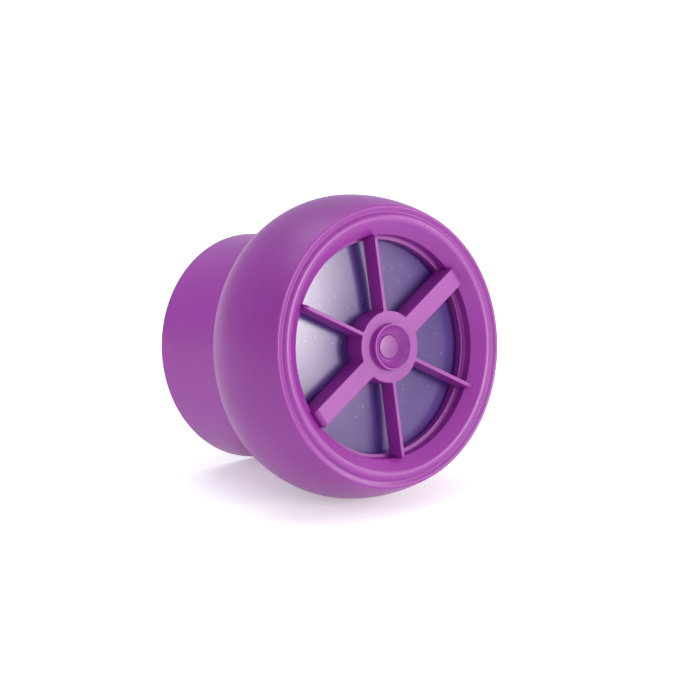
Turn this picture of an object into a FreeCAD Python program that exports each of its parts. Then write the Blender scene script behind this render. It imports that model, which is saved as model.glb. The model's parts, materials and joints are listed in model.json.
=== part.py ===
import FreeCAD, Part
import math
import os

# One-way speaking valve that pushes onto the 15 mm connector of a tracheostomy tube.
# Millimetres. The valve's axis is Y: the socket's mouth is at y = 0 and faces +Y, and the
# spoked grille faces -Y. Outlines are drawn as (radius, distance ahead of the mouth) and
# turned about the axis, so a distance of d ahead is at y = -d.

# --- Rear body: socket, stop ring, flange and spigot -------------------------------------
socket_bore_d = 15.4  # bore that the tube's connector goes into
tube_wall = 1.0
tube_length = 9.7  # mouth to the rear edge of the cap's skirt
lead_in = 0.3  # chamfer just inside the mouth
mouth_round = 0.2  # rounding of the mouth's outer edge
stop_inset = 1.1  # how far the connector's stop ring stands in from the bore
stop_t = 1.2
flange_inset = 0.25  # the flange lies this far inside the skirt's rear edge
flange_step = 1.25  # from the tube's wall out to the spigot's wall
floor_t = 1.5  # flange, rear face to chamber floor
spigot_wall = 0.95

# --- Front cap: skirt, shoulder, lip and seat --------------------------------------------
glue_gap = 0.05  # between spigot and skirt, on the radius and at the end
skirt_wall = 1.5  # at the belly, where the cap is widest
rear_drop = 0.63  # how much less the radius is at the skirt's rear edge
rear_round = 0.2
belly_ahead = 2.8  # rear edge to the widest circle
nose_drop = 0.93  # how much less the radius is at the nose, the flank's front edge
head_length = 7.6  # rear edge to the nose
nose_round = 0.2
rim_w = 0.35  # from the nose in to the lip's outermost radius
rim_dip = 0.2  # the rim falls this much from the nose to the lip's foot
lip_round = 0.6
lip_height = 0.02  # nose to the lip's crest
cone_angle = 56.0  # inner wall of the lip, from the axis
step_ahead_of_seat = 1.37  # edge where that cone ends
ledge_w = 0.36
ledge_t = 0.65
seat_back = 2.05  # nose back to the seat that the diaphragm closes on
seat_w = 1.25
spigot_stop = 1.2  # seat back to the shoulder that the spigot butts against

# --- Grille: hub, boss and six spokes ----------------------------------------------------
grille_t = 1.97  # seat to the front faces of hub and spokes
spoke_count = 6
first_spoke = 30.0  # degrees from +X towards +Z; this one and its opposite are wide
wide_spoke_w = 1.5  # a wide spoke's rear is flush with the hub's
thin_spoke_w = 0.3  # at the front edge
thin_spoke_depth = 1.35
thin_spoke_draft = 0.08  # added on each side at the rear edge
spoke_bite = 0.06  # how far a spoke's end runs into the wall above the ledge
hub_margin = 0.92  # flat ring of the hub round the boss
boss_wall = 0.86  # at the boss's root
boss_height = 0.46
boss_draft = 0.03
boss_crest_w = 0.13
boss_floor = 0.1  # the recess's bottom is this far behind the hub's face

# --- Centre pin and diaphragm ------------------------------------------------------------
pin_d = 1.8
pin_fit = 0.02  # radial clearance of the pin in the hub
pin_sink = 0.05  # the pin's end lies this far behind the hub's face
pin_dome = 0.04
pin_head_w = 1.0  # the head's edge, out from the shank
pin_head_t = 0.5
diaphragm_t = 0.4
diaphragm_lap = 0.55  # how far it covers the seat
rest_gap = 0.02  # between the diaphragm and what it rests on
preload = 0.25  # the hub's rear is this far ahead of the seat, which springs the disc shut

# --- Worked-out radii and places ---------------------------------------------------------
socket_r = socket_bore_d / 2
tube_r = socket_r + tube_wall
spigot_r = tube_r + flange_step
skirt_bore_r = spigot_r + glue_gap
head_r = skirt_bore_r + skirt_wall
nose_r = head_r - nose_drop
lip_r = nose_r - rim_w

nose = tube_length + head_length
crest = nose + lip_height
seat = nose - seat_back
face = seat + grille_t
hub_rear = seat + preload
step = seat + step_ahead_of_seat
ledge = seat + ledge_t

slope = math.radians(cone_angle)
lip_centre = (lip_r - lip_round, crest - lip_round)
cone_top = (
    lip_centre[0] - lip_round * math.cos(slope),
    lip_centre[1] + lip_round * math.sin(slope),
)
step_r = cone_top[0] - (cone_top[1] - step) * math.tan(slope)
window_r = step_r - ledge_w
chamber_r = window_r + seat_w
cap_stop = seat - spigot_stop

flange = tube_length + flange_inset
chamber_floor = flange + floor_t
socket_floor = chamber_floor - stop_t
spigot_end = cap_stop - glue_gap

pin_r = pin_d / 2
pin_hole_r = pin_r + pin_fit
boss_r = pin_hole_r + boss_wall
hub_r = boss_r + hub_margin
diaphragm_r = window_r + diaphragm_lap
diaphragm_front = hub_rear - rest_gap
diaphragm_rear = diaphragm_front - diaphragm_t
diaphragm_bend = (preload**2 + (window_r - hub_r) ** 2) / (2 * preload)
pin_head_front = diaphragm_rear - rest_gap


def at(radius, ahead):
    """Point of an outline in the half plane x > 0."""
    return FreeCAD.Vector(radius, -ahead, 0)


def bend(start, middle, end):
    """Arc through three (radius, ahead) points."""
    return Part.Arc(at(*start), at(*middle), at(*end)).toShape()


def line(start, end):
    return Part.makeLine(at(*start), at(*end))


def on_circle(centre, radius, degrees):
    """Point of a circle in the outline; 0 degrees points outwards and 90 ahead."""
    a = math.radians(degrees)
    return centre[0] + radius * math.cos(a), centre[1] + radius * math.sin(a)


def sag(widest, end, ahead_widest, ahead_end):
    """Middle point of an arc whose widest radius, and centre, lie at ahead_widest."""
    drop = widest - end
    run = abs(ahead_end - ahead_widest)
    radius = (drop**2 + run**2) / (2 * drop)
    half = (ahead_end - ahead_widest) / 2
    return widest - radius + math.sqrt(radius**2 - half**2), ahead_widest + half


def turned(edges):
    """Solid of revolution about Y of a closed outline."""
    section = Part.Face(Part.Wire(edges))
    return section.revolve(FreeCAD.Vector(0, 0, 0), FreeCAD.Vector(0, 1, 0), 360)


def chain(points):
    """Straight edges from each point to the next."""
    return [line(a, b) for a, b in zip(points, points[1:])]


def rear_body():
    """Tube with the socket, the connector's stop ring, the flange and the spigot."""
    half = math.sqrt(0.5)
    round_start = (tube_r - mouth_round, 0)
    round_middle = (tube_r - mouth_round * (1 - half), mouth_round * (1 - half))
    round_end = (tube_r, mouth_round)
    outline = [bend(round_start, round_middle, round_end)]
    outline += chain(
        [
            round_end,
            (tube_r, flange),
            (spigot_r, flange),
            (spigot_r, spigot_end),
            (spigot_r - spigot_wall, spigot_end),
            (spigot_r - spigot_wall, chamber_floor),
            (socket_r - stop_inset, chamber_floor),
            (socket_r - stop_inset, socket_floor),
            (socket_r, socket_floor),
            (socket_r, lead_in),
            (socket_r + lead_in, 0),
            round_start,
        ]
    )
    return turned(outline)


def cap_ring():
    """Skirt, rim, lip, ledge and seat of the cap, without the grille."""
    rear = tube_length
    belly = rear + belly_ahead
    rear_r = head_r - rear_drop
    half = math.sqrt(0.5)
    skirt_end = (rear_r, rear + rear_round)
    rim = (rear_r - rear_round, rear)
    rim_middle = (rear_r - rear_round * (1 - half), rear + rear_round * (1 - half))
    widest = (head_r, belly)
    flank_lean = 2 * math.degrees(math.atan2(nose_drop, nose - belly))
    nose_centre = (nose_r - nose_round, nose - nose_round)
    flank_end = on_circle(nose_centre, nose_round, flank_lean)
    nose_middle = on_circle(nose_centre, nose_round, (flank_lean + 90) / 2)
    nose_end = (nose_centre[0], nose)
    foot_rise = nose - rim_dip - lip_centre[1]
    foot_reach = math.sqrt(lip_round**2 - foot_rise**2)
    lip_foot = (lip_centre[0] + foot_reach, nose - rim_dip)
    lip_top = on_circle(lip_centre, lip_round, 75)
    outline = [
        bend(rim, rim_middle, skirt_end),
        bend(skirt_end, sag(head_r, rear_r, belly, skirt_end[1]), widest),
        bend(widest, sag(head_r, flank_end[0], belly, flank_end[1]), flank_end),
        bend(flank_end, nose_middle, nose_end),
        line(nose_end, lip_foot),
        bend(lip_foot, lip_top, cone_top),
    ]
    outline += chain(
        [
            cone_top,
            (step_r, step),
            (step_r, ledge),
            (window_r, ledge),
            (window_r, seat),
            (chamber_r, seat),
            (chamber_r, cap_stop),
            (skirt_bore_r, cap_stop),
            (skirt_bore_r, rear),
            rim,
        ]
    )
    return turned(outline)


def hub():
    """Hub with the hollow boss that shows the pin's end."""
    crest_r = boss_r - boss_draft
    boss_top = face + boss_height
    return turned(
        chain(
            [
                (pin_hole_r, hub_rear),
                (hub_r, hub_rear),
                (hub_r, face),
                (boss_r, face),
                (crest_r, boss_top),
                (crest_r - boss_crest_w, boss_top),
                (pin_hole_r + pin_fit, face - boss_floor),
                (pin_hole_r, face - boss_floor),
                (pin_hole_r, hub_rear),
            ]
        )
    )


def spoke(front_w, depth, draft, degrees):
    """Bar from inside the hub to inside the wall, with a flat front and drafted sides."""
    rear = face - depth
    start = (pin_hole_r + hub_r) / 2
    length = step_r + spoke_bite - start
    half_front = front_w / 2
    half_rear = half_front + draft
    corners = [
        (start, -rear, -half_rear),
        (start, -rear, half_rear),
        (start, -face, half_front),
        (start, -face, -half_front),
        (start, -rear, -half_rear),
    ]
    section = Part.Face(Part.makePolygon([FreeCAD.Vector(*c) for c in corners]))
    bar = section.extrude(FreeCAD.Vector(length, 0, 0))
    # turning about -Y carries +X towards +Z
    bar.rotate(FreeCAD.Vector(0, 0, 0), FreeCAD.Vector(0, -1, 0), degrees)
    return bar


def front_cap():
    """The whole cap, moulded in one piece."""
    spokes = []
    for n in range(spoke_count):
        wide = n % (spoke_count // 2) == 0
        degrees = first_spoke + n * 360 / spoke_count
        if wide:
            spokes.append(spoke(wide_spoke_w, face - hub_rear, 0.0, degrees))
        else:
            spokes.append(spoke(thin_spoke_w, thin_spoke_depth, thin_spoke_draft, degrees))
    return cap_ring().fuse([hub()] + spokes).removeSplitter()


def dip(radius):
    """How far the bent diaphragm lies behind its flat middle: an arc from the hub's edge."""
    return diaphragm_bend - math.sqrt(diaphragm_bend**2 - (radius - hub_r) ** 2)


def diaphragm():
    """Silicone disc with a hole for the pin, flat under the hub and bent back to the seat."""
    middle_r = (hub_r + diaphragm_r) / 2
    front_middle = (middle_r, diaphragm_front - dip(middle_r))
    front_rim = (diaphragm_r, diaphragm_front - dip(diaphragm_r))
    rear_middle = (middle_r, diaphragm_rear - dip(middle_r))
    rear_rim = (diaphragm_r, diaphragm_rear - dip(diaphragm_r))
    outline = [
        line((pin_hole_r, diaphragm_front), (hub_r, diaphragm_front)),
        bend((hub_r, diaphragm_front), front_middle, front_rim),
        line(front_rim, rear_rim),
        bend(rear_rim, rear_middle, (hub_r, diaphragm_rear)),
        line((hub_r, diaphragm_rear), (pin_hole_r, diaphragm_rear)),
        line((pin_hole_r, diaphragm_rear), (pin_hole_r, diaphragm_front)),
    ]
    return turned(outline)


def centre_pin():
    """Headed pin, pushed through the diaphragm into the hub from behind."""
    head_r = pin_r + pin_head_w
    head_rear = pin_head_front - pin_head_t
    end = face - pin_sink
    edge = pin_head_t / 2
    outline = chain(
        [
            (0, end),
            (0, head_rear),
            (head_r - edge, head_rear),
            (head_r, head_rear + edge),
            (head_r, pin_head_front),
            (pin_r, pin_head_front),
            (pin_r, end - pin_dome),
        ]
    )
    dome_radius = (pin_r**2 + pin_dome**2) / (2 * pin_dome)
    middle_r = pin_r / 2
    dome_middle = end - dome_radius + math.sqrt(dome_radius**2 - middle_r**2)
    outline.append(bend((pin_r, end - pin_dome), (middle_r, dome_middle), (0, end)))
    return turned(outline)


def write(name, shape):
    """One STEP file per piece; each piece has to be one closed solid."""
    solid = shape.Solids[0] if len(shape.Solids) == 1 else shape
    if solid.Volume < 0:
        solid.reverse()
    print(name, "solids", len(shape.Solids), "valid", solid.isValid(), "mm3", round(solid.Volume, 2))
    solid.exportStep(f"parts/{name}.step")


os.makedirs("parts", exist_ok=True)
write("rear_body", rear_body())
write("front_cap", front_cap())
write("diaphragm", diaphragm())
write("centre_pin", centre_pin())
print("overall diameter", 2 * head_r, "tube", 2 * tube_r, "window", 2 * window_r)
print("length to the lip's crest", crest, "hub face", face, "seat", seat)
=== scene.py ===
import json
import math
import bmesh
import bpy
import numpy as np
from mathutils import Matrix, Vector


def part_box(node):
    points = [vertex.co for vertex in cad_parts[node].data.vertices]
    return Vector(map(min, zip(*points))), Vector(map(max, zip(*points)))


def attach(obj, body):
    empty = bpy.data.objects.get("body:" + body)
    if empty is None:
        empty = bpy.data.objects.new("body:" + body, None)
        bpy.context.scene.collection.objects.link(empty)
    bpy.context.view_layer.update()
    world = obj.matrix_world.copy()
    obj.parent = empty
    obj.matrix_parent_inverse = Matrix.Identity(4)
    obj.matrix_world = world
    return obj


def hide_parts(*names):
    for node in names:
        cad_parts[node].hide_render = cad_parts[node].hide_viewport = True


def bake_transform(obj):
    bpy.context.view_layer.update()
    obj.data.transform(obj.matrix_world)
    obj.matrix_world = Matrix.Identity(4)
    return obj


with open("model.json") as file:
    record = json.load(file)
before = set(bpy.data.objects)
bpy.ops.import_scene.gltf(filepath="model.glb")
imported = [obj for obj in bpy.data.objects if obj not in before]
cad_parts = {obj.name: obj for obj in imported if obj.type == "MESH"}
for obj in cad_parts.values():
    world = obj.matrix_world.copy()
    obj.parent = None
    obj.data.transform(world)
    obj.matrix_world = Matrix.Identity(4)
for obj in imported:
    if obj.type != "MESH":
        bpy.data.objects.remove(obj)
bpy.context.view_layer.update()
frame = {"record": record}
scene = bpy.context.scene

# --- Camera ------------------------------------------------------------------------------
# A long lens a forearm's length away, level with the valve's axis. It stands on the grille's
# side of the valve and off the axis, so that the face is seen obliquely, with the tube behind.
MM = 0.001
view_turn = math.radians(38.3)  # between the valve's axis and the line of sight
view_lift = math.radians(10.0)  # the camera's place, turned about the valve's axis
view_roll = math.radians(-0.68)
view_distance = 300
view_width = 51.6  # what the view spans at the aim
aim_ahead = 11.215  # place on the axis, ahead of the mouth
aim_up = 0.47

towards = Vector(
    (
        -math.sin(view_turn) * math.cos(view_lift),
        -math.cos(view_turn),
        math.sin(view_turn) * math.sin(view_lift),
    )
)
level_up = Vector((math.sin(view_lift), 0, math.cos(view_lift)))
level_right = level_up.cross(towards)
view_right = level_right * math.cos(view_roll) - level_up * math.sin(view_roll)
view_up = level_right * math.sin(view_roll) + level_up * math.cos(view_roll)
aim = (Vector((0, -aim_ahead, 0)) + view_up * aim_up) * MM
camera_data = bpy.data.cameras.new("camera")
camera_data.sensor_width = 36.0
camera_data.lens = camera_data.sensor_width * view_distance / view_width
camera_data.clip_start = 0.01
camera_data.clip_end = 20.0
camera = bpy.data.objects.new("camera", camera_data)
turn = Matrix((view_right, view_up, towards)).transposed().to_4x4()
camera.matrix_world = Matrix.Translation(aim + towards * view_distance * MM) @ turn
scene.collection.objects.link(camera)
scene.camera = camera

# --- Rear body ---------------------------------------------------------------------------
# One purple moulding of rigid plastic: the tube whose bore pushes onto the tracheostomy
# tube's connector, the ring that stops the connector, the flange, and the spigot under the
# cap. Its mouth is rounded by the mould, and the cap is bonded over its spigot.
socket = next(m for m in frame["record"]["mounts"] if m["name"] == "tube_socket")
socket_r = socket["dims"]["r_mm"]
body_low, body_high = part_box("rear_body")
spigot_r = body_high.x / MM
spigot_end = -body_low.y / MM
tube_wall, mouth_round, lead_in = 1.0, 0.2, 0.3
stop_inset, stop_t = 1.1, 1.2
flange_inset, floor_t, spigot_wall = 0.25, 1.5, 0.95
skirt_rear = -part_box("front_cap")[1].y / MM
tube_r = socket_r + tube_wall
flange = skirt_rear + flange_inset
chamber_floor = flange + floor_t
socket_floor = chamber_floor - stop_t
stop_r = socket_r - stop_inset


def rounded(corners, steps=5, guard=0.04):
    """Closed outline whose corners are arcs. corners are rows of (radius, ahead, round).

    At a corner P with unit directions u towards the last corner and v towards the next, the
    arc of radius r touches both sides at a length t = r / tan(half the angle between u and
    v) from P, and its centre is P + (u + v) / |u + v| * r / sin(half that angle). A guard
    point on each side, just outside the arc, keeps the flats flat when shaded smooth.
    """
    corners = np.array(corners, float)
    before = np.roll(corners, 1, axis=0)
    after = np.roll(corners, -1, axis=0)
    found = []
    for (pr, pa, radius), last, following in zip(corners, before, after):
        p = np.array([pr, pa])
        u, v = last[:2] - p, following[:2] - p
        reach_u, reach_v = np.linalg.norm(u), np.linalg.norm(v)
        u, v = u / reach_u, v / reach_v
        half = math.acos(np.clip(u @ v, -1, 1)) / 2
        if radius <= 0 or math.sin(half) > 0.9999:
            found.append(p[None])
            continue
        t = min(radius / math.tan(half), 0.45 * reach_u, 0.45 * reach_v)
        r = t * math.tan(half)
        middle = (u + v) / np.linalg.norm(u + v)
        centre = p + middle * r / math.sin(half)
        start, end = p + u * t - centre, p + v * t - centre
        sweep = math.atan2(start[0] * end[1] - start[1] * end[0], start @ end)
        a = np.linspace(0, sweep, steps + 1)[:, None]
        sideways = np.array([-start[1], start[0]])
        arc = centre + start * np.cos(a) + sideways * np.sin(a)
        out_u = p + u * min(t + guard, 0.48 * reach_u)
        out_v = p + v * min(t + guard, 0.48 * reach_v)
        found.append(np.vstack([out_u[None], arc, out_v[None]]))
    return np.vstack(found)


def curve(start, end, bulge, count, radius=0.0):
    """Rows of (radius, ahead, 0) along an arc from start to end, without its last point.

    bulge is the arc's height over its chord, as a share of half the chord, to the left of
    the way from start to end. Only the first point gets the corner radius.
    """
    start, end = np.array(start, float), np.array(end, float)
    chord = end - start
    left = np.array([-chord[1], chord[0]])
    angle = 4 * math.atan(bulge)
    t = np.linspace(0, 1, count, endpoint=False)[:, None]
    if abs(angle) < 1e-9:
        points = start + chord * t
    else:
        centre = (start + end) / 2 - left / (2 * math.tan(angle / 2))
        a = angle * t
        spoke_a = start - centre
        spoke_b = np.array([spoke_a[1], -spoke_a[0]])
        points = centre + spoke_a * np.cos(a) + spoke_b * np.sin(a)
    rounds = np.zeros((count, 1))
    rounds[0] = radius
    return np.hstack([points, rounds])


def mesh_object(name, points, faces):
    """Smooth closed mesh from points in mm, with doubles merged and faces outwards."""
    mesh = bpy.data.meshes.new(name)
    mesh.from_pydata((np.asarray(points) * MM).tolist(), [], faces)
    work = bmesh.new()
    work.from_mesh(mesh)
    bmesh.ops.remove_doubles(work, verts=work.verts, dist=1e-7)
    bmesh.ops.dissolve_degenerate(work, edges=work.edges, dist=1e-8)
    bmesh.ops.recalc_face_normals(work, faces=work.faces)
    if work.calc_volume(signed=True) < 0:
        bmesh.ops.reverse_faces(work, faces=work.faces)
    for face in work.faces:
        face.smooth = True
    work.to_mesh(mesh)
    work.free()
    made = bpy.data.objects.new(name, mesh)
    scene.collection.objects.link(made)
    return made


def grid_faces(rows, columns, first=0, close_rows=False, close_columns=False):
    """Quads of a grid of points stored row by row, closed round on itself where asked."""
    r = np.arange(rows if close_rows else rows - 1)
    c = np.arange(columns if close_columns else columns - 1)
    r, c = np.meshgrid(r, c, indexing="ij")
    up, right = (r + 1) % rows, (c + 1) % columns
    quads = np.stack(
        [r * columns + c, r * columns + right, up * columns + right, up * columns + c], -1
    )
    return (quads.reshape(-1, 4) + first).tolist()


def lathe(outline, angles):
    """Points of a surface of revolution: for each (radius, ahead) of the outline and each
    angle a, x = radius cos a, y = -ahead, z = radius sin a."""
    radius, ahead = outline[:, 0:1], outline[:, 1:2]
    x, z = radius * np.cos(angles), radius * np.sin(angles)
    y = np.broadcast_to(-ahead, x.shape)
    return np.stack([x, y, z], -1).reshape(-1, 3)


def turned_piece(name, corners, turns=288, steps=5):
    """Closed turned piece from its rounded outline."""
    outline = rounded(corners, steps)
    angles = np.linspace(0, 2 * math.pi, turns, endpoint=False)
    points = lathe(outline, angles)
    faces = grid_faces(len(outline), turns, close_rows=True, close_columns=True)
    return mesh_object(name, points, faces)


def link(tree, source, output, target, socket_name):
    tree.links.new(source.outputs[output], target.inputs[socket_name])


def moulded_plastic(name, colour, deep, roughness):
    """Rigid dyed plastic: a faint cloud of two tones, a satin skin that is a little shinier
    in places, and the shallow unevenness of a moulded surface with a fine grain on it."""
    material = bpy.data.materials.new(name)
    material.use_nodes = True
    tree = material.node_tree
    shader = tree.nodes["Principled BSDF"]
    shader.inputs["IOR"].default_value = 1.46
    shader.inputs["Subsurface Weight"].default_value = 0.12
    shader.inputs["Subsurface Radius"].default_value = (1.0, 0.35, 1.0)
    shader.inputs["Subsurface Scale"].default_value = 0.5 * MM
    place = tree.nodes.new("ShaderNodeTexCoord")

    def noise(size_mm, detail):
        node = tree.nodes.new("ShaderNodeTexNoise")
        node.inputs["Scale"].default_value = 1 / (size_mm * MM)
        node.inputs["Detail"].default_value = detail
        link(tree, place, "Object", node, "Vector")
        return node

    cloud = noise(6.0, 3.0)
    tones = tree.nodes.new("ShaderNodeValToRGB")
    tones.color_ramp.elements[0].position = 0.3
    tones.color_ramp.elements[0].color = (*deep, 1)
    tones.color_ramp.elements[1].position = 0.7
    tones.color_ramp.elements[1].color = (*colour, 1)
    link(tree, cloud, "Fac", tones, "Fac")
    link(tree, tones, "Color", shader, "Base Color")

    patches = noise(2.5, 4.0)
    sheen = tree.nodes.new("ShaderNodeMapRange")
    sheen.inputs["To Min"].default_value = roughness - 0.03
    sheen.inputs["To Max"].default_value = roughness + 0.03
    link(tree, patches, "Fac", sheen, "Value")
    link(tree, sheen, "Result", shader, "Roughness")

    wave, grain = noise(1.6, 2.0), noise(0.12, 2.0)
    swell = tree.nodes.new("ShaderNodeBump")
    swell.inputs["Strength"].default_value = 0.25
    swell.inputs["Distance"].default_value = 0.02 * MM
    link(tree, wave, "Fac", swell, "Height")
    skin = tree.nodes.new("ShaderNodeBump")
    skin.inputs["Strength"].default_value = 0.18
    skin.inputs["Distance"].default_value = 0.004 * MM
    link(tree, grain, "Fac", skin, "Height")
    link(tree, swell, "Normal", skin, "Normal")
    link(tree, skin, "Normal", shader, "Normal")
    return material


body_plastic = moulded_plastic(
    "rear_body_purple", (0.245, 0.014, 0.265), (0.215, 0.010, 0.235), 0.36
)
rear_body = turned_piece(
    "rear_body_moulding",
    [
        (tube_r, 0, mouth_round),
        (tube_r, flange, 0.15),
        (spigot_r, flange, 0.08),
        (spigot_r, spigot_end, 0.06),
        (spigot_r - spigot_wall, spigot_end, 0.06),
        (spigot_r - spigot_wall, chamber_floor, 0.15),
        (stop_r, chamber_floor, 0.1),
        (stop_r, socket_floor, 0.1),
        (socket_r, socket_floor, 0.08),
        (socket_r, lead_in, 0.15),
        (socket_r + lead_in, 0, 0.08),
    ],
)
rear_body.data.materials.append(body_plastic)
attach(rear_body, "housing")
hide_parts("rear_body")

# --- Front cap ---------------------------------------------------------------------------
# One purple moulding: a barrel-shaped skirt that ends at the nose, a narrow rim, a rounded
# lip, the seat, and the grille of two wide and four thin spokes with its hub and hollow
# boss. It is moulded in one shot, and bonded over the rear body's spigot.
glue_gap = 0.05
rear_drop, belly_run = 0.63, 2.8  # radius lost, and distance, from the belly to the rear edge
nose_drop, nose_run = 0.93, 4.8  # the same from the belly forwards to the nose
rim_w, rim_dip = 0.35, 0.2
lip_round, lip_height = 0.6, 0.02
cone = math.radians(56.0)  # the lip's inner wall, from the axis
seat_back, seat_w, spigot_stop = 2.05, 1.25, 1.2
step_rise, ledge_rise, ledge_w = 1.37, 0.65, 0.36  # rises are from the seat
grille_t = 1.97
head_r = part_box("front_cap")[1].x / MM
skirt_bore_r = spigot_r + glue_gap
belly = skirt_rear + belly_run
rear_r = head_r - rear_drop
nose_r = head_r - nose_drop
nose = belly + nose_run
rim_level = nose - rim_dip
lip_r = nose_r - rim_w
crest = nose + lip_height
seat = nose - seat_back
face = seat + grille_t
step = seat + step_rise
ledge = seat + ledge_rise
lip_middle = np.array([lip_r - lip_round, crest - lip_round])
cone_top = lip_middle + lip_round * np.array([-math.cos(cone), math.sin(cone)])
step_r = cone_top[0] - (cone_top[1] - step) * math.tan(cone)
window_r = step_r - ledge_w
chamber_r = window_r + seat_w
cap_stop = seat - spigot_stop


def bulge_of(drop, run):
    """Bulge of an arc that starts square to the axis and falls by drop over run."""
    return math.tan(math.atan2(drop, run) / 2)


def ring_corners():
    """Outline of the cap's ring, from the skirt's rear edge forwards and round."""
    widest = (head_r, belly)
    back_bulge = -bulge_of(rear_drop, belly_run)
    skirt_back = curve((rear_r, skirt_rear), widest, back_bulge, 12, 0.18)
    # the flank's last point is left out, which leaves room for the nose's rounding
    flank = curve(widest, (nose_r, nose), -bulge_of(nose_drop, nose_run), 24)[:-1]
    # the lip's arc starts where the rim meets it; its first steps are left out for the fillet
    foot_angle = math.asin((rim_level - lip_middle[1]) / lip_round)
    foot = (lip_middle[0] + lip_round * math.cos(foot_angle), rim_level)
    lip_bulge = -math.tan((math.pi - cone - foot_angle) / 4)
    lip = np.delete(curve(foot, cone_top, lip_bulge, 26, 0.25), slice(1, 5), axis=0)
    inside = [
        (*cone_top, 0),
        (step_r, step, 0.1),
        (step_r, ledge, 0.2),
        (window_r, ledge, 0.06),
        (window_r, seat, 0.06),
        (chamber_r, seat, 0.08),
        (chamber_r, cap_stop, 0.05),
        (skirt_bore_r, cap_stop, 0.05),
        (skirt_bore_r, skirt_rear, 0.1),
    ]
    return np.vstack([skirt_back, flank, [(nose_r, nose, 0.2)], lip, inside])


pin_hole_r, boss_wall, hub_margin = 0.92, 0.86, 0.92
boss_height, boss_draft, boss_crest_w, recess_depth = 0.46, 0.03, 0.13, 0.1
preload = 0.25  # the hub's rear is this far ahead of the seat, which bows the diaphragm
boss_root = 0.12  # the hub's flat front is a grid in to here; the turned boss takes over
hub_fillet = 0.14
spoke_bite = 0.06  # the spokes' ends reach this far past the step's edge
thin_spoke_depth = 1.35
first_spoke = math.radians(30)
boss_r = pin_hole_r + boss_wall
hub_r = boss_r + hub_margin
boss_top = face + boss_height
recess_floor = face - recess_depth
grille_start = boss_r + boss_root
hub_rear = seat + preload
spoke_end = step_r + spoke_bite
# half width at the front, half width at the rear, and the rear face's level
wide_spoke = (0.75, 0.75, hub_rear)
thin_spoke = (0.15, 0.23, face - thin_spoke_depth)


def spoke_side(half):
    """Window's edge along a spoke that lies along +X, from the wall in to the hub, with the
    spoke's middle beside it, and the angle at which the edge meets the hub.

    The edge is a straight line at the spoke's half width. A fillet of radius f joins it to
    the hub's circle of radius h: its centre stands half + f off the spoke's middle and h + f
    from the axis.
    """
    foot = math.sqrt((hub_r + hub_fillet) ** 2 - (half + hub_fillet) ** 2)
    x = np.linspace(spoke_end, foot, 14)
    edge = np.column_stack([x, np.full_like(x, half)])
    inner = np.column_stack([x, np.zeros_like(x)])
    hub_angle = math.atan2(half + hub_fillet, foot)
    a = np.linspace(-math.pi / 2, hub_angle - math.pi, 8)[1:]
    centre = np.array([foot, half + hub_fillet])
    edge = np.vstack([edge, centre + hub_fillet * np.column_stack([np.cos(a), np.sin(a)])])
    slide = np.linspace(foot, grille_start, 8)[1:]
    inner = np.vstack([inner, np.column_stack([slide, np.zeros_like(slide)])])
    return edge, inner, hub_angle


def window_side(half_a, half_b):
    """One window's hub-side edge, seen from the front: in along spoke a, round the hub and
    out along spoke b, which stands 60 degrees on. With it, the points of the spokes' middles
    and of the boss's root circle that the front face runs to. Spoke b's part is spoke a's,
    mirrored in its middle line and turned on by 60 degrees."""
    edge_a, inner_a, angle_a = spoke_side(half_a)
    edge_b, inner_b, angle_b = spoke_side(half_b)
    sixth = math.pi / 3
    a = np.linspace(angle_a, sixth - angle_b, 34)[1:-1]
    around = hub_r * np.column_stack([np.cos(a), np.sin(a)])
    a = np.linspace(0, sixth, 34)[1:-1]
    root = grille_start * np.column_stack([np.cos(a), np.sin(a)])
    flip = np.array([[1, 0], [0, -1]])
    swing = np.array([[math.cos(sixth), math.sin(sixth)], [-math.sin(sixth), math.cos(sixth)]])
    edge = np.vstack([edge_a, around, (edge_b @ flip @ swing)[::-1]])
    inner = np.vstack([inner_a, root, (inner_b @ flip @ swing)[::-1]])
    return edge, inner


def grille_sector(spoke_a, spoke_b):
    """One sixth of the grille: its front face from the spokes' middle lines to the window's
    edge, the rounded front edge, the drafted side wall, the rounded rear edge and the rear
    face back to the middle. Rows run along the edge and columns across it. The rear face
    steps from the hub's level to each spoke's own within the fillet."""
    edge, inner = window_side(spoke_a[0], spoke_b[0])
    foot, _ = window_side(spoke_a[1], spoke_b[1])
    tangent = np.gradient(edge, axis=0)
    tangent /= np.linalg.norm(tangent, axis=1)[:, None]
    outward = np.column_stack([tangent[:, 1], -tangent[:, 0]])
    outward *= np.sign(np.sum(outward * (edge - inner), axis=1))[:, None]
    rows = len(edge)
    spoke_rear = np.where(np.arange(rows) < rows / 2, spoke_a[2], spoke_b[2])
    off_hub = np.clip((np.linalg.norm(edge, axis=1) - hub_r - 0.01) / 0.12, 0, 1)
    rear = hub_rear + (spoke_rear - hub_rear) * off_hub * off_hub * (3 - 2 * off_hub)
    front_edge, rear_edge, guard = 0.05, 0.04, 0.03
    columns = [(inner, np.full(rows, face))]
    columns.append((edge - outward * (front_edge + guard), np.full(rows, face)))
    for a in np.linspace(0, math.pi / 2, 6):
        inset = edge - outward * front_edge * (1 - math.sin(a))
        columns.append((inset, np.full(rows, face - front_edge * (1 - math.cos(a)))))
    for share in (0.04, 0.5, 0.96):
        level = (face - front_edge) * (1 - share) + (rear + rear_edge) * share
        columns.append((edge * (1 - share) + foot * share, level))
    for a in np.linspace(0, math.pi / 2, 4):
        inset = foot - outward * rear_edge * (1 - math.cos(a))
        columns.append((inset, rear + rear_edge * (1 - math.sin(a))))
    columns.append((foot - outward * (rear_edge + guard), rear))
    columns.append((inner, rear))
    flat = np.stack([c[0] for c in columns], 1)
    level = np.stack([c[1] for c in columns], 1)
    return flat, level


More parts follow.
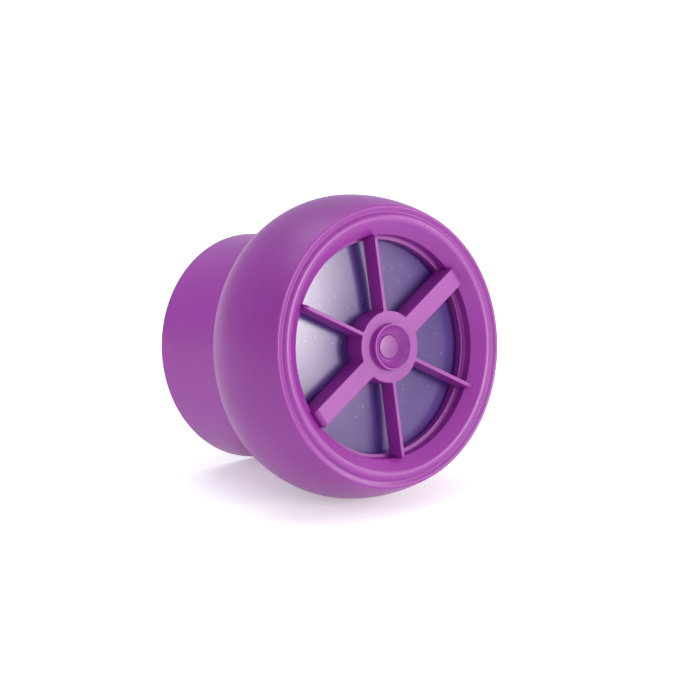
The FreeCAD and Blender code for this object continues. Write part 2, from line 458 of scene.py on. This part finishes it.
def on_plane(flat, level, angle):
    """Points (x, -level, z) of face-plane points turned by an angle about the axis."""
    x = flat[..., 0] * math.cos(angle) - flat[..., 1] * math.sin(angle)
    z = flat[..., 0] * math.sin(angle) + flat[..., 1] * math.cos(angle)
    return np.stack([x, -level, z], -1)


def boss_corners():
    """Outline of the hollow boss, from its root up, over the crest and down the dished
    recess and the pin's hole to the rear."""
    crest_r = boss_r - boss_draft
    floor_r = pin_hole_r + 0.05
    dish_bulge = 0.16
    side = [(grille_start, face, 0), (boss_r, face, 0.04), (crest_r, boss_top, 0.05)]
    dish = curve((crest_r - boss_crest_w, boss_top), (floor_r, recess_floor), dish_bulge, 10, 0.05)
    hole = [
        (floor_r, recess_floor, 0.03),
        (pin_hole_r, recess_floor - 0.03, 0.02),
        (pin_hole_r, hub_rear, 0.04),
        (grille_start, hub_rear, 0),
    ]
    return np.vstack([side, dish, hole])


def grille():
    """Points and faces of the whole grille: six sectors, a fan of triangles that closes each
    spoke's end, and the boss turned in the middle, through the sectors' own border points."""
    points, faces, root_angles = [], [], []
    count = 0
    sixth = math.pi / 3
    spokes = [wide_spoke, thin_spoke, thin_spoke] * 2
    for k in range(6):
        spoke_a, spoke_b = spokes[k], spokes[(k + 1) % 6]
        flat, level = grille_sector(spoke_a, spoke_b)
        rows, columns = level.shape
        turned_by = first_spoke + k * sixth
        points.append(on_plane(flat, level, turned_by).reshape(-1, 3))
        faces += grid_faces(rows, columns, count)
        inner = flat[:, 0]
        on_root = np.abs(np.linalg.norm(inner, axis=1) - grille_start) < 1e-6
        root_angles.append(np.arctan2(inner[on_root, 1], inner[on_root, 0]) + turned_by)
        tip = np.array([[spoke_end, 0.0]])
        points.append(on_plane(tip, np.array([(face + spoke_a[2]) / 2]), turned_by))
        points.append(on_plane(tip, np.array([(face + spoke_b[2]) / 2]), turned_by + sixth))
        last_row = count + (rows - 1) * columns
        tip_a = count + rows * columns
        faces += [[tip_a, count + c, count + c + 1] for c in range(columns - 1)]
        faces += [[tip_a + 1, last_row + c, last_row + c + 1] for c in range(columns - 1)]
        count += rows * columns + 2
    angles = np.unique(np.round(np.concatenate(root_angles) % (2 * math.pi), 9))
    angles = angles[np.append(np.diff(angles) > 1e-5, True)]
    boss = rounded(boss_corners(), steps=6)
    points.append(lathe(boss, angles))
    faces += grid_faces(len(boss), len(angles), count, close_columns=True)
    return np.vstack(points), faces


cap_plastic = moulded_plastic(
    "front_cap_purple", (0.21, 0.018, 0.23), (0.185, 0.013, 0.205), 0.36
)
cap_ring = turned_piece("front_cap_moulding", ring_corners(), turns=360)
cap_grille = mesh_object("front_cap_grille", *grille())
for piece in (cap_ring, cap_grille):
    piece.data.materials.append(cap_plastic)
    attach(piece, "housing")
    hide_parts("front_cap")

# --- Diaphragm ---------------------------------------------------------------------------
# A thin disc of translucent silicone with a hole for the pin. Its middle is clamped between
# the hub and the pin's head, a little ahead of the seat, so that the disc bows and its rim
# is sprung onto the seat from behind. An inward breath bends the rim back.
disc_low, disc_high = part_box("diaphragm")
disc_r = disc_high.x / MM
disc_front = -disc_low.y / MM
disc_t = 0.4
disc_bend = (preload**2 + (window_r - hub_r) ** 2) / (2 * preload)
clamp_r = 1.9  # the pin's head holds the disc out to here


def silicone(name):
    """Cloudy silicone with a violet cast: soft light under the skin, a satin surface with
    faint ripples, and a few pale specks of dust that cling to it."""
    material = bpy.data.materials.new(name)
    material.use_nodes = True
    tree = material.node_tree
    shader = tree.nodes["Principled BSDF"]
    shader.inputs["IOR"].default_value = 1.5
    shader.inputs["Specular IOR Level"].default_value = 0.6
    shader.inputs["Roughness"].default_value = 0.25
    shader.inputs["Subsurface Weight"].default_value = 0.35
    shader.inputs["Subsurface Radius"].default_value = (1.0, 0.8, 1.2)
    shader.inputs["Subsurface Scale"].default_value = 0.6 * MM
    place = tree.nodes.new("ShaderNodeTexCoord")
    cloud = tree.nodes.new("ShaderNodeTexNoise")
    cloud.inputs["Scale"].default_value = 1 / (2.2 * MM)
    cloud.inputs["Detail"].default_value = 4.0
    link(tree, place, "Object", cloud, "Vector")
    tones = tree.nodes.new("ShaderNodeValToRGB")
    tones.color_ramp.elements[0].position = 0.3
    tones.color_ramp.elements[0].color = (0.048, 0.016, 0.14, 1)
    tones.color_ramp.elements[1].position = 0.7
    tones.color_ramp.elements[1].color = (0.062, 0.022, 0.17, 1)
    link(tree, cloud, "Fac", tones, "Fac")
    specks = tree.nodes.new("ShaderNodeTexVoronoi")
    specks.inputs["Scale"].default_value = 1 / (0.75 * MM)
    link(tree, place, "Object", specks, "Vector")
    near = tree.nodes.new("ShaderNodeMapRange")
    near.inputs["From Min"].default_value = 0.16
    near.inputs["From Max"].default_value = 0.06
    near.inputs["To Max"].default_value = 0.10
    link(tree, specks, "Distance", near, "Value")
    dusty = tree.nodes.new("ShaderNodeMix")
    dusty.data_type = "RGBA"
    dusty.inputs["B"].default_value = (0.60, 0.55, 0.72, 1)
    link(tree, near, "Result", dusty, "Factor")
    link(tree, tones, "Color", dusty, "A")
    link(tree, dusty, "Result", shader, "Base Color")
    ripple = tree.nodes.new("ShaderNodeBump")
    ripple.inputs["Strength"].default_value = 0.2
    ripple.inputs["Distance"].default_value = 0.01 * MM
    link(tree, cloud, "Fac", ripple, "Height")
    link(tree, ripple, "Normal", shader, "Normal")
    return material


def disc_corners():
    """Outline of the disc, with rings of points across it: flat to the
    hub's edge h, then an arc of radius b, which dips by b - sqrt(b^2 - (r - h)^2)."""
    rings = np.linspace(1.1, disc_r, 30)
    dip = disc_bend - np.sqrt(disc_bend**2 - np.clip(rings - hub_r, 0, None) ** 2)
    rounds = np.zeros(len(rings))
    rounds[-1] = 0.1
    front = np.column_stack([rings, disc_front - dip, rounds])
    rear = np.column_stack([rings, disc_front - disc_t - dip, rounds])[::-1]
    hole = [(pin_hole_r, disc_front - disc_t, 0.05), (pin_hole_r, disc_front, 0.05)]
    return np.vstack([front, rear, hole])


diaphragm = turned_piece("diaphragm_disc", disc_corners(), turns=200)
diaphragm.data.materials.append(silicone("diaphragm_silicone"))
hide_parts("diaphragm")
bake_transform(diaphragm)
# Each point of the disc gets t by its distance from the axis, from 0 at the clamp to 1 at
# the rim. Nothing below uses t.
disc_points = np.zeros(len(diaphragm.data.vertices) * 3, np.float32)
diaphragm.data.vertices.foreach_get("co", disc_points)
disc_points = disc_points.reshape(-1, 3) / MM
t = (np.hypot(disc_points[:, 0], disc_points[:, 2]) - clamp_r) / (disc_r - clamp_r)
t = np.clip(t, 0, 1)

# --- Centre pin --------------------------------------------------------------------------
# A headed pin of the same plastic. It goes through the diaphragm from behind and is pressed
# into the hub, and its domed end shows in the bottom of the boss's recess.
pin_low, pin_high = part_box("centre_pin")
pin_r, pin_dome, pin_head_t = 0.9, 0.035, 0.5
pin_head_r = pin_high.x / MM
pin_end, pin_rear = -pin_low.y / MM, -pin_high.y / MM
pin_head_front = pin_rear + pin_head_t
pin_plastic = moulded_plastic(
    "centre_pin_purple", (0.20, 0.032, 0.215), (0.17, 0.026, 0.185), 0.32
)


def pin_outline():
    """Half outline of the pin from the middle of its end to the middle of its head."""
    r = np.linspace(0, pin_r - 0.1, 10)
    dome = pin_end - pin_dome * (r / pin_r) ** 2
    corners = [
        (pin_r, pin_end - pin_dome, 0.06),
        (pin_r, pin_head_front, 0.03),
        (pin_head_r, pin_head_front, 0.05),
        (pin_head_r, pin_rear + 0.22, 0.06),
        (pin_head_r - 0.25, pin_rear, 0.12),
    ]
    side = rounded(
        np.vstack([np.column_stack([r, dome, 0 * r])[[0, -1]], corners, [(0, pin_rear, 0)]])
    )
    keep = side[:, 0] > r[-1] + 1e-6
    start = np.flatnonzero(keep)[0]
    return np.vstack([np.column_stack([r, dome]), side[start:]])


pin_profile = pin_outline()
pin_turns = 96
centre_pin = mesh_object(
    "centre_pin_moulding",
    lathe(pin_profile, np.linspace(0, 2 * math.pi, pin_turns, endpoint=False)),
    grid_faces(len(pin_profile), pin_turns, close_columns=True),
)
centre_pin.data.materials.append(pin_plastic)
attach(centre_pin, "housing")
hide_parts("centre_pin")

# --- Floor and light ---------------------------------------------------------------------
# The valve lies on its side on a plain white surface, on the skirt's widest part and the
# tube's rear edge, so in the valve's own frame that surface slopes up towards the rear. Two
# lamps stand to the right of the face, and larger ones above it and beside the camera.
belly_round = (rear_drop**2 + belly_run**2) / (2 * rear_drop)  # the skirt's rear, in section


def standing_gap(tilt):
    """How much further the belly reaches down than the tube's edge, for a floor that is
    tilted by this angle: each is a circle in section, and reaches its centre's distance
    along the floor's normal plus its radius."""
    c, s = math.cos(tilt), math.sin(tilt)
    belly_reach = (head_r - belly_round) * c - belly * s + belly_round
    mouth_reach = (tube_r - mouth_round) * c - mouth_round * s + mouth_round
    return belly_reach - mouth_reach


tilts = np.radians(np.linspace(5, 25, 4001))
gaps = np.array([standing_gap(a) for a in tilts])
tilt = float(tilts[np.argmin(np.abs(gaps))])
floor_up = Vector((0, -math.sin(tilt), math.cos(tilt)))
floor_along = Vector((0, math.cos(tilt), math.sin(tilt)))
mouth_centre = tube_r - mouth_round
mouth_reach = mouth_centre * math.cos(tilt) - mouth_round * math.sin(tilt) + mouth_round
floor_half = 1.5  # metres
floor_corners = [
    Vector((sx * floor_half, 0, 0)) + floor_along * sy * floor_half - floor_up * mouth_reach * MM
    for sx, sy in ((-1, -1), (1, -1), (1, 1), (-1, 1))
]
floor_mesh = bpy.data.meshes.new("floor")
floor_mesh.from_pydata([tuple(c) for c in floor_corners], [], [(0, 1, 2, 3)])
floor = bpy.data.objects.new("floor", floor_mesh)
scene.collection.objects.link(floor)
floor_paint = bpy.data.materials.new("floor_white")
floor_paint.use_nodes = True
floor_shader = floor_paint.node_tree.nodes["Principled BSDF"]
floor_shader.inputs["Base Color"].default_value = (0.80, 0.80, 0.80, 1)
floor_shader.inputs["Roughness"].default_value = 0.6
floor_shader.inputs["Emission Color"].default_value = (1, 1, 1, 1)
floor_shader.inputs["Emission Strength"].default_value = 0.34
floor_mesh.materials.append(floor_paint)

world = bpy.data.worlds.new("studio")
world.use_nodes = True
world.node_tree.nodes["Background"].inputs["Color"].default_value = (0.95, 0.97, 1.05, 1)
world.node_tree.nodes["Background"].inputs["Strength"].default_value = 0.76
scene.world = world
scene.view_settings.view_transform = "Standard"


def lamp(name, right, up, back, distance, size, power, colour=(1, 1, 1)):
    """Square area lamp, placed by its direction from the aim, as shares of the view's own
    right, its up and the way towards the camera, and pointed at the aim."""
    way = (view_right * right + view_up * up + towards * back).normalized()
    data = bpy.data.lights.new(name, "AREA")
    data.size = size
    data.energy = power
    data.color = colour
    made = bpy.data.objects.new(name, data)
    made.location = aim + way * distance
    made.rotation_euler = way.to_track_quat("Z", "Y").to_euler()
    scene.collection.objects.link(made)


lamp("key", 0.93, 0.36, -0.06, 0.5, 0.16, 0.8, (1.0, 0.95, 0.80))
lamp("top", -0.15, 1.0, 0.1, 0.5, 0.5, 1.5)
lamp("side", 0.87, 0.08, 0.48, 0.5, 0.15, 1.7, (1.0, 0.95, 0.90))
lamp("front", -0.35, 0.25, 0.90, 0.5, 0.25, 0.4, (1.0, 0.97, 0.93))
